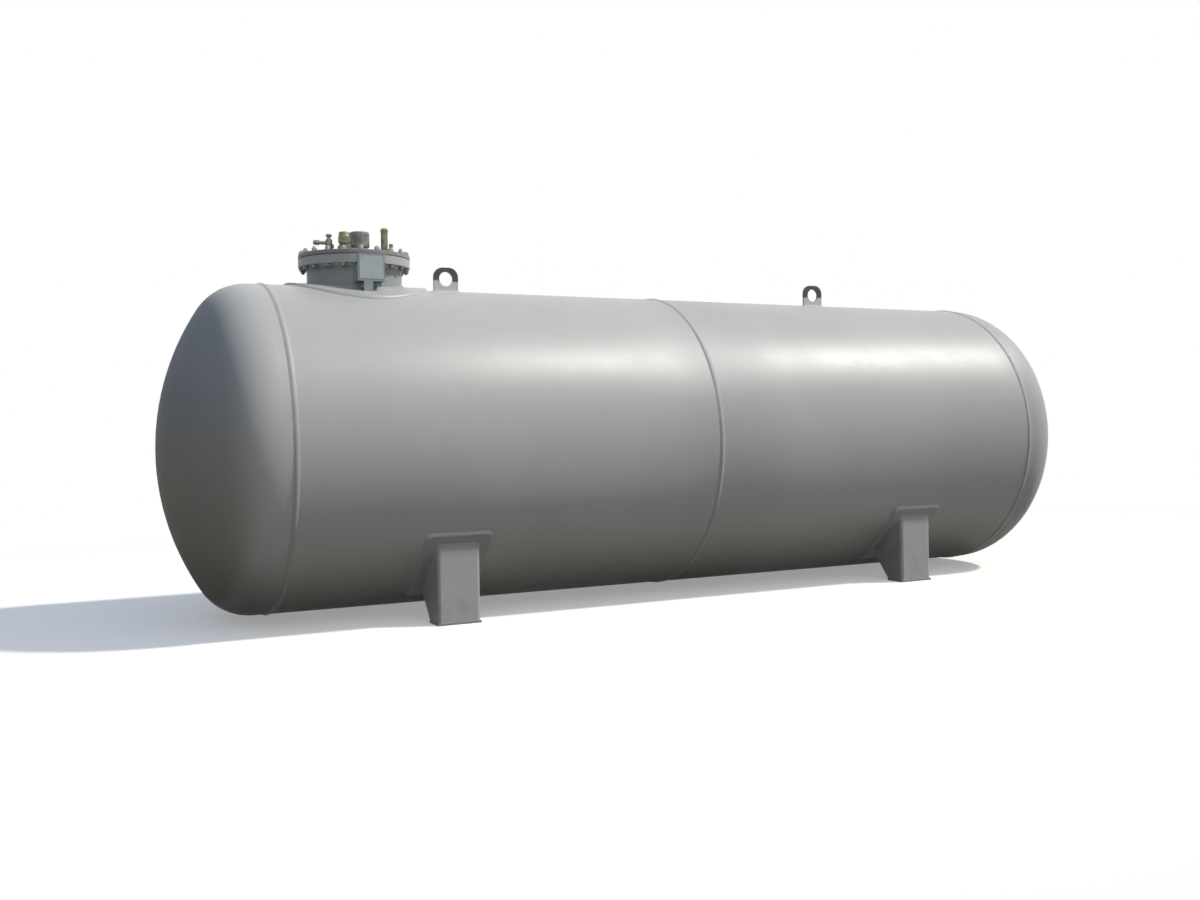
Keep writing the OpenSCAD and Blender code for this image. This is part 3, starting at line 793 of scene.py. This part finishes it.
def leg_welds(name, sy):
    """Fillets round the pad, where the folded leg meets the pad, and round its foot."""
    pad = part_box(name + "_leg_pad")
    leg_low, leg_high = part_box(name + "_leg")
    foot_low, foot_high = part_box(name + "_base_plate")
    made = Build()
    made.fillet(*pad_rim(*pad, sy), LEG_PAD_T, closed=True)
    mid = (pad[0].x + pad[1].x) / 2
    half = (leg_high.x - leg_low.x) / 2
    front = max(abs(leg_low.y), abs(leg_high.y))
    rear = min(abs(leg_low.y), abs(leg_high.y))
    lip = foot_high.x - leg_high.x
    outer = SHELL_R + LEG_PAD_T
    path, out = [], []
    for x, y in fold_line(half, rear + LEG_WELD, front):
        z = AXIS_Z - math.sqrt(outer ** 2 - y ** 2)
        path.append((mid + x, sy * y, z))
        out.append((0, sy * y / outer, (z - AXIS_Z) / outer))
    made.fillet(path, out, (mid, sy * (rear + front) / 2, path[0][2]), LEG_WELD)
    back = min(abs(foot_low.y), abs(foot_high.y)) + lip
    path = [(mid + x, sy * y, foot_high.z) for x, y in fold_line(half, back, front)]
    centre = (mid, sy * (back + front) / 2, foot_high.z)
    made.fillet(path, [UP] * len(path), centre, FOOT_WELD_SHARE * lip)
    made.piece(name + "_leg_welds", "leg_paint", "leg_paint", sharp=WELD_EDGE)


for side in ("left", "right"):
    leg_welds("front_" + side, -1)
    leg_welds("rear_" + side, 1)


def lug_welds(name):
    """Fillet round the foot of a lug."""
    low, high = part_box(name)
    z = AXIS_Z + math.sqrt(SHELL_R ** 2 - high.y ** 2)
    loop = [(low.x, low.y), (high.x, low.y), (high.x, high.y), (low.x, high.y)]
    path = []
    for (x0, y0), (x1, y1) in zip(loop, loop[1:] + loop[:1]):
        for t in np.linspace(0, 1, LUG_RUN_STEPS, endpoint=False):
            path.append((x0 + (x1 - x0) * t, y0 + (y1 - y0) * t, z))
    made = Build()
    made.fillet(path, [UP] * len(path), ((low.x + high.x) / 2, 0, z), LUG_WELD, closed=True)
    made.piece(name + "_weld", "tank_paint", "tank_paint", sharp=WELD_EDGE)


lug_welds("left_lifting_lug")
lug_welds("right_lifting_lug")


# Manway bolting

STUDS = 20
STUD_R = 0.008
STUD_FROM_NECK = 0.0245
STUD_CIRCLE = NECK_R + STUD_FROM_NECK
WASHER_T = 0.0025
WASHER = [(0.0150, 0), (0.0150, 0.0020), (0.0142, WASHER_T)]
NUT_FLATS = 0.024
NUT_T = 0.013
STUD_END_START = 0.0145
STUD_END_TOP = 0.0205
STUD_END_STEP = 0.0015
STUD_LAP = 0.001
THREAD_EASE = 1.5


def threaded(radius, low, high, pitch=0.0025, depth=0.0012):
    """Profile of a threaded end with an eased tip at each end."""
    tip = radius - depth * THREAD_EASE
    rows = [(tip, low)]
    for k in range(int((high - low) / pitch)):
        z = low + (k + 0.25) * pitch
        rows += [(radius - depth, z), (radius, z + pitch * 0.4)]
    return rows + [(tip, high)]


def bolting():
    """Studs through flange and cover, with a washer and a nut on each; their ends stand out unevenly. The
    nuts are zinc on the cover and dark steel under the flange, as painted shade.
    """
    studs, nuts = Build(), Build()
    gap = cover_low.z - flange_high.z
    for k in range(STUDS):
        a = (k + 0.5) / STUDS * TAU
        x, y = MANWAY_X + STUD_CIRCLE * math.cos(a), STUD_CIRCLE * math.sin(a)
        # Nuts stop at different turns
        turn = a * 1.7 + (k * k % 7) * 0.31
        end = threaded(STUD_R, STUD_END_START, STUD_END_TOP + STUD_END_STEP * (k % 3))
        for group, seat, up in ((studs, COVER_TOP, 1), (nuts, flange_low.z, -1)):
            group.lathe((x, y, seat), WASHER, sides=28, direction=(0, 0, up))
            group.hexagon((x, y, seat + up * WASHER_T), NUT_FLATS, NUT_T, (0, 0, up), turn)
            group.lathe((x, y, seat), end, sides=16, direction=(0, 0, up))
        studs.lathe((x, y, flange_high.z - STUD_LAP), [(STUD_R, 0), (STUD_R, gap + 2 * STUD_LAP)], sides=16)
    studs.piece("manway_studs", "zinc", "gauge_metal")
    # Dark steel under the flange, the same nuts as the zinc ones on the cover: painted shade
    nuts.piece("manway_shaded_nuts", "dark_steel", "dark_steel")


bolting()


# Fittings on the cover

FILLING_THREAD_LENGTH = 0.0115
FILLING_THREAD_PITCH = 0.004
FILLING_THREAD_DEPTH = 0.0018

# Lower edges and dimples of the caps, in metres
FILLING_SKIRT = (0.003, 0.006)
FILLING_DIMPLE = 0.002
RELIEF_EDGE = 0.0015
OUTLET_EDGE = 0.001

# Where a cap is gripped, as shares of its height; the outlet's flutes run a little past its grip
FILLING_GRIP = (0.14, 0.60)
KNOB_GRIP = (0.08, 0.94)
OUTLET_GRIP, OUTLET_FLUTES = (0.12, 0.74), (0.10, 0.76)
GRIP_RINGS = 6


def middle_of(node):
    """Middle of a round upright node, its lower height, its own height and its radius."""
    low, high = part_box(node)
    return (low.x + high.x) / 2, (low.y + high.y) / 2, low.z, high.z - low.z, (high.x - low.x) / 2


def profile_of(radius, height, shares):
    """A profile from shares of a radius and a height."""
    return [(radius * across, height * up) for across, up in shares]


def gripped(radius, height, grip):
    """The straight part of a profile that flutes are cut into."""
    return [(radius, height * t) for t in np.linspace(*grip, GRIP_RINGS)]


def fluted(count, depth, body_height, grip):
    """Shallow flutes round a turned body, within its grip."""
    low, high = body_height * grip[0], body_height * grip[1]

    def shape(angles, height):
        if low <= height <= high:
            return 1 - depth * (0.5 + 0.5 * np.cos(angles * count))
        return 1.0
    return shape


def filling_valve():
    """Fluted dust cap with a flat top, and the thread that shows below it."""
    x, y, z, h, r = middle_of("filling_valve_cap")
    skirt = [(r * 0.90, 0)] + [(r * 0.985, up) for up in FILLING_SKIRT]
    crown = profile_of(r, h, [(0.97, 0.63), (0.93, 0.66), (0.93, 0.90), (0.88, 0.96), (0.78, 1), (0.40, 1)])
    profile = skirt + gripped(r, h, FILLING_GRIP) + crown + [(r * 0.37, h - FILLING_DIMPLE)]
    cap = Build()
    cap.lathe((x, y, z), profile, sides=144, wobble=fluted(36, 0.045, h, FILLING_GRIP))
    cap.piece("filling_cap", "brass", "brass", "filling_valve_cap", sharp=CAP_EDGE)
    turns = threaded(FILLING_NECK_R, -FILLING_THREAD_LENGTH, 0.0, FILLING_THREAD_PITCH, FILLING_THREAD_DEPTH)
    thread = Build()
    thread.lathe((x, y, z), turns)
    thread.piece("filling_thread", "brass", "brass")


def relief_valve():
    """Domed rain cap with a rim."""
    x, y, z, h, r = middle_of("relief_valve_cap")
    rim = [(r * 0.93, 0), (r, RELIEF_EDGE)]
    dome = [(1, 0.42), (0.97, 0.46), (0.97, 0.60), (0.88, 0.84), (0.62, 0.97), (0.30, 1)]
    cap = Build()
    cap.lathe((x, y, z), rim + profile_of(r, h, dome))
    cap.piece("relief_cap", "brass", "brass", "relief_valve_cap", sharp=CAP_EDGE)


def vapour_knob():
    """Lobed hand knob with a hub."""
    x, y, z, h, r = middle_of("vapour_valve_knob")
    rim = [(0.80, 0.08), (0.95, 0.16), (1, 0.34), (1, 0.70), (0.95, 0.86), (0.82, 0.94)]
    hub = [(0.45, 0.90), (0.30, 0.90), (0.28, 1), (0.10, 1)]
    profile = profile_of(r, h, [(0.45, 0)] + rim + hub)
    knob = Build()
    knob.lathe((x, y, z), profile, sides=96, wobble=fluted(8, 0.09, h, KNOB_GRIP))
    knob.piece("vapour_knob", "dark_steel", "dark_steel", "vapour_valve_knob", sharp=CAP_EDGE)


def outlet_cap():
    """Fluted cap on the side outlet of the vapour valve."""
    low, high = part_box("vapour_outlet_cap")
    r, h = (high.z - low.z) / 2, high.x - low.x
    seat = (high.x, (low.y + high.y) / 2, (low.z + high.z) / 2)
    foot = [(r * 0.76, 0), (r * 0.97, OUTLET_EDGE)]
    end = profile_of(r, h, [(0.94, 0.80), (0.90, 0.94), (0.80, 1)])
    profile = foot + gripped(r, h, OUTLET_GRIP) + end
    cap = Build()
    cap.lathe(seat, profile, sides=96, direction=LEFT, wobble=fluted(24, 0.05, h, OUTLET_FLUTES))
    cap.piece("outlet_cap", "dark_steel", "dark_steel", "vapour_outlet_cap", sharp=CAP_EDGE)


GAUGE_BOLTS = 6
GAUGE_BOLT_CIRCLE = 0.046
GAUGE_WASHER_T = 0.002
GAUGE_WASHER = [(0.0100, 0), (0.0100, 0.0018), (0.0094, GAUGE_WASHER_T)]
GAUGE_BOLT_FLATS = 0.016
GAUGE_BOLT_HEAD = 0.0065


def gauge_bolts():
    """Hexagon bolts with washers on the flange of the level gauge."""
    x, y, z = middle_of("level_gauge_base")[:3]
    seat = z + GAUGE_FLANGE_T
    bolts = Build()
    for k in range(GAUGE_BOLTS):
        a = (k + 0.25) / GAUGE_BOLTS * TAU
        bolt_x, bolt_y = x + GAUGE_BOLT_CIRCLE * math.cos(a), y + GAUGE_BOLT_CIRCLE * math.sin(a)
        bolts.lathe((bolt_x, bolt_y, seat), GAUGE_WASHER, sides=24)
        above = (bolt_x, bolt_y, seat + GAUGE_WASHER_T)
        bolts.hexagon(above, GAUGE_BOLT_FLATS, GAUGE_BOLT_HEAD, turn=a * 2.1 + k)
    bolts.piece("gauge_bolts", "zinc", "gauge_metal")


# Strokes of the dial: angles in degrees, lengths as shares of its radius, half widths in metres
STROKES = 21
STROKE_START, STROKE_STEP = -225, 13.5
STROKE_RIM, STROKE_SHORT, STROKE_LONG = 0.88, 0.74, 0.66
STROKE_THIN, STROKE_THICK = 0.0004, 0.0007
POINTER_ANGLE, POINTER_TAIL, POINTER_TIP, POINTER_WIDE = -160, -0.18, 0.70, 0.0010
STROKE_RISE = 0.0003
POINTER_HUB = [(0.0042, 0), (0.0042, 0.0010), (0.0034, 0.0016)]


def stroke(made, middle, angle, inner, outer, width):
    """One raised stroke along a ray from the middle of the dial's face."""
    x, y, top = middle
    a = math.radians(angle)
    ray = np.array([math.cos(a), math.sin(a)])
    side = np.array([-math.sin(a), math.cos(a)]) * width
    flat = [ray * inner + side, ray * inner - side, ray * outer - side, ray * outer + side]
    rows = [[(x + c[0], y + c[1], z) for c in flat] for z in (top - STROKE_RISE, top + STROKE_RISE)]
    made.grid(rows, False, True, cap=True)


def dial_marks():
    """Strokes, every fifth one longer and thicker, and a pointer with its hub."""
    x, y, z, h, r = middle_of("level_gauge_dial")
    middle = (x, y, z + h)
    made = Build()
    for k in range(STROKES):
        inner, width = (STROKE_SHORT, STROKE_THIN) if k % 5 else (STROKE_LONG, STROKE_THICK)
        stroke(made, middle, STROKE_START + STROKE_STEP * k, r * inner, r * STROKE_RIM, width)
    stroke(made, middle, POINTER_ANGLE, r * POINTER_TAIL, r * POINTER_TIP, POINTER_WIDE)
    made.lathe((x, y, middle[2] - STROKE_RISE), POINTER_HUB, sides=24)
    made.piece("dial_marks", "gasket", "gasket")


RIVET_INSET = 0.008
RIVET = [(0.0032, -0.0005), (0.0032, 0.0003), (0.0026, 0.0010), (0.0013, 0.0014)]


def nameplate_rivets():
    """A domed rivet near each corner of the bare nameplate."""
    low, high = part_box("nameplate")
    rivets = Build()
    for x in (low.x + RIVET_INSET, high.x - RIVET_INSET):
        for z in (low.z + RIVET_INSET, high.z - RIVET_INSET):
            rivets.lathe((x, low.y, z), RIVET, sides=20, direction=FRONT)
    rivets.piece("nameplate_rivets", "zinc", "bare_plate")


BOSS_WELD = 0.006
BOSS_STEPS = 90
BOSS_PITCH = 0.004
BOSS_STEP = 0.002
BRACKET_WELD = 0.005
BRACKET_WELD_FOOT = 0.035
BRACKET_WELD_TOP = 0.014
BRACKET_STEPS = 12


def boss_welds():
    """Fillets round the feet of the bosses on the cover."""
    beads = Build()
    for node, radius in BOSS_R.items():
        x, y = middle_of(node)[:2]
        path = level_round(x, y, COVER_TOP, radius, BOSS_STEPS)
        beads.fillet(path, [UP] * BOSS_STEPS, (x, y, COVER_TOP), BOSS_WELD, True, BOSS_PITCH, BOSS_STEP)
    beads.piece("boss_welds", "cover_paint", "cover_paint", sharp=WELD_EDGE)


def bracket_welds():
    """Upright fillets where the sides of the nameplate's bracket meet the neck."""
    low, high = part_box("nameplate_bracket")
    heights = np.linspace(low.z + BRACKET_WELD_FOOT, flange_low.z - BRACKET_WELD_TOP, BRACKET_STEPS)
    beads = Build()
    for x in (low.x - MANWAY_X, high.x - MANWAY_X):
        wall = -math.sqrt(NECK_R ** 2 - x ** 2)
        path = [(MANWAY_X + x, wall, z) for z in heights]
        out = [(x / NECK_R, wall / NECK_R, 0)] * BRACKET_STEPS
        beads.fillet(path, out, (MANWAY_X, wall, heights[0]), BRACKET_WELD)
    # These welds take the neck's painted shade
    beads.piece("bracket_welds", "shaded_neck_paint", "manway_paint", sharp=WELD_EDGE)


filling_valve()
relief_valve()
vapour_knob()
outlet_cap()
gauge_bolts()
dial_marks()
nameplate_rivets()
boss_welds()
bracket_welds()


# Camera

CAMERA_PLACE = (-3.379, -5.968, AXIS_Z + 0.096)
CAMERA_YAW = math.radians(27.35)
CAMERA_ROLL = -0.0146
LENS = 36.0
SENSOR = 36.0
PHOTO_WIDTH = 1200.0
PHOTO_HEIGHT = 900.0
HORIZON_ROW = 424.2
CLIP = (0.05, 200.0)


def photo_camera():
    """Camera at the photograph's place, level but for a slight roll; a shift puts the horizon in its row."""
    forward = Vector((math.sin(CAMERA_YAW), math.cos(CAMERA_YAW), 0))
    level = Vector((math.cos(CAMERA_YAW), -math.sin(CAMERA_YAW), 0))
    upright = Vector(UP)
    right = level * math.cos(CAMERA_ROLL) + upright * math.sin(CAMERA_ROLL)
    above = upright * math.cos(CAMERA_ROLL) - level * math.sin(CAMERA_ROLL)
    data = bpy.data.cameras.new("photo_camera")
    data.sensor_width = SENSOR
    data.lens = LENS
    data.shift_y = (HORIZON_ROW - PHOTO_HEIGHT / 2) / PHOTO_WIDTH
    data.clip_start, data.clip_end = CLIP
    made = bpy.data.objects.new("photo_camera", data)
    scene.collection.objects.link(made)
    x, y, z = CAMERA_PLACE
    made.matrix_world = Matrix((
        (right.x, above.x, -forward.x, x),
        (right.y, above.y, -forward.y, y),
        (right.z, above.z, -forward.z, z),
        (0, 0, 0, 1),
    ))
    scene.camera = made


photo_camera()


# Floor

FLOOR_HALF = 60.0
FLOOR_DROP = 0.0005
FLOOR_GLOW = 0.30
FLOOR_ROUGH = 0.9
FLOOR_FADE = (3.0, 8.0)
FLOOR_FADE_STRETCH = (0.6, 1.0, 1.0)
FLOOR_SHOWN = (0.95, 0.95, 0.945)
FLOOR_LIT = (0.050, 0.049, 0.032)
BLACK = (0.0, 0.0, 0.0)
WHITE = (1.0, 1.0, 1.0)


def shown_to_view(graph):
    """One for rays that show a surface to the viewer, straight, mirrored or through glass."""
    path = graph.node("ShaderNodeLightPath").outputs
    seen = graph.larger(path["Is Camera Ray"], path["Is Glossy Ray"])
    return graph.larger(seen, path["Is Transmission Ray"])


def pale_floor():
    """A pale floor that shows white and throws little light back up."""
    mesh = bpy.data.meshes.new("floor")
    s = FLOOR_HALF
    mesh.from_pydata([(-s, -s, 0), (s, -s, 0), (s, s, 0), (-s, s, 0)], [], [(0, 1, 2, 3)])
    floor = bpy.data.objects.new("floor", mesh)
    scene.collection.objects.link(floor)
    floor.location.z = -FLOOR_DROP
    look = Look("floor")
    shown = shown_to_view(look)
    away = look.length(look.stretch(*FLOOR_FADE_STRETCH))
    far = look.times(look.span(away, *FLOOR_FADE), shown)
    near = look.mix(shown, FLOOR_LIT, FLOOR_SHOWN)
    look.set("Base Color", look.mix(far, near, BLACK))
    look.set("Emission Color", (*WHITE, 1.0))
    look.set("Emission Strength", look.times(look.span(far, 0.0, 1.0, FLOOR_GLOW, 1.0), shown))
    look.set("Roughness", FLOOR_ROUGH)
    look.set("Specular IOR Level", 0.0)
    mesh.materials.append(look.material)


pale_floor()


# Light

SKY = 0.14
BLUE_SIDE = (-0.25, 0.00, 0.97)
BLUE_SPREAD = (0.60, 0.88)
SKY_WARM = (1.05, 1.00, 0.91)
SKY_BLUE = (0.10, 0.88, 2.35)

# Name, direction toward the light, strength, spread in degrees and colour
SUNS = (
    ("key", (0.614, -0.274, 0.740), 2.46, 4, (1.0, 0.967, 0.893)),
    ("fill", (0.100, -0.800, 0.600), 0.73, 100, (0.985, 1.0, 0.995)),
)


def sky_light():
    """A weak sky, warm low down and blue overhead, that shows white."""
    world = bpy.data.worlds.new("sky")
    scene.world = world
    world.use_nodes = True
    sky = Graph(world.node_tree)
    back = sky.tree.nodes["Background"]
    shown = shown_to_view(sky)
    sky.put(back.inputs["Strength"], sky.span(shown, 0.0, 1.0, SKY, 1.0))
    facing = sky.node("ShaderNodeVectorMath", operation="DOT_PRODUCT")
    sky.put(facing.inputs[0], sky.node("ShaderNodeTexCoord").outputs["Generated"])
    facing.inputs[1].default_value = BLUE_SIDE
    tint = sky.mix(sky.span(facing.outputs["Value"], *BLUE_SPREAD), SKY_WARM, SKY_BLUE)
    sky.put(back.inputs["Color"], sky.mix(shown, tint, WHITE))


def sun(name, toward, strength, spread, colour):
    """One distant lamp."""
    data = bpy.data.lights.new(name, "SUN")
    data.energy = strength
    data.color = colour
    data.angle = math.radians(spread)
    lamp = bpy.data.objects.new(name, data)
    scene.collection.objects.link(lamp)
    lamp.rotation_mode = "QUATERNION"
    lamp.rotation_quaternion = Vector(toward).to_track_quat("Z", "Y")


sky_light()
for lamp in SUNS:
    sun(*lamp)
scene.view_settings.view_transform = "Standard"
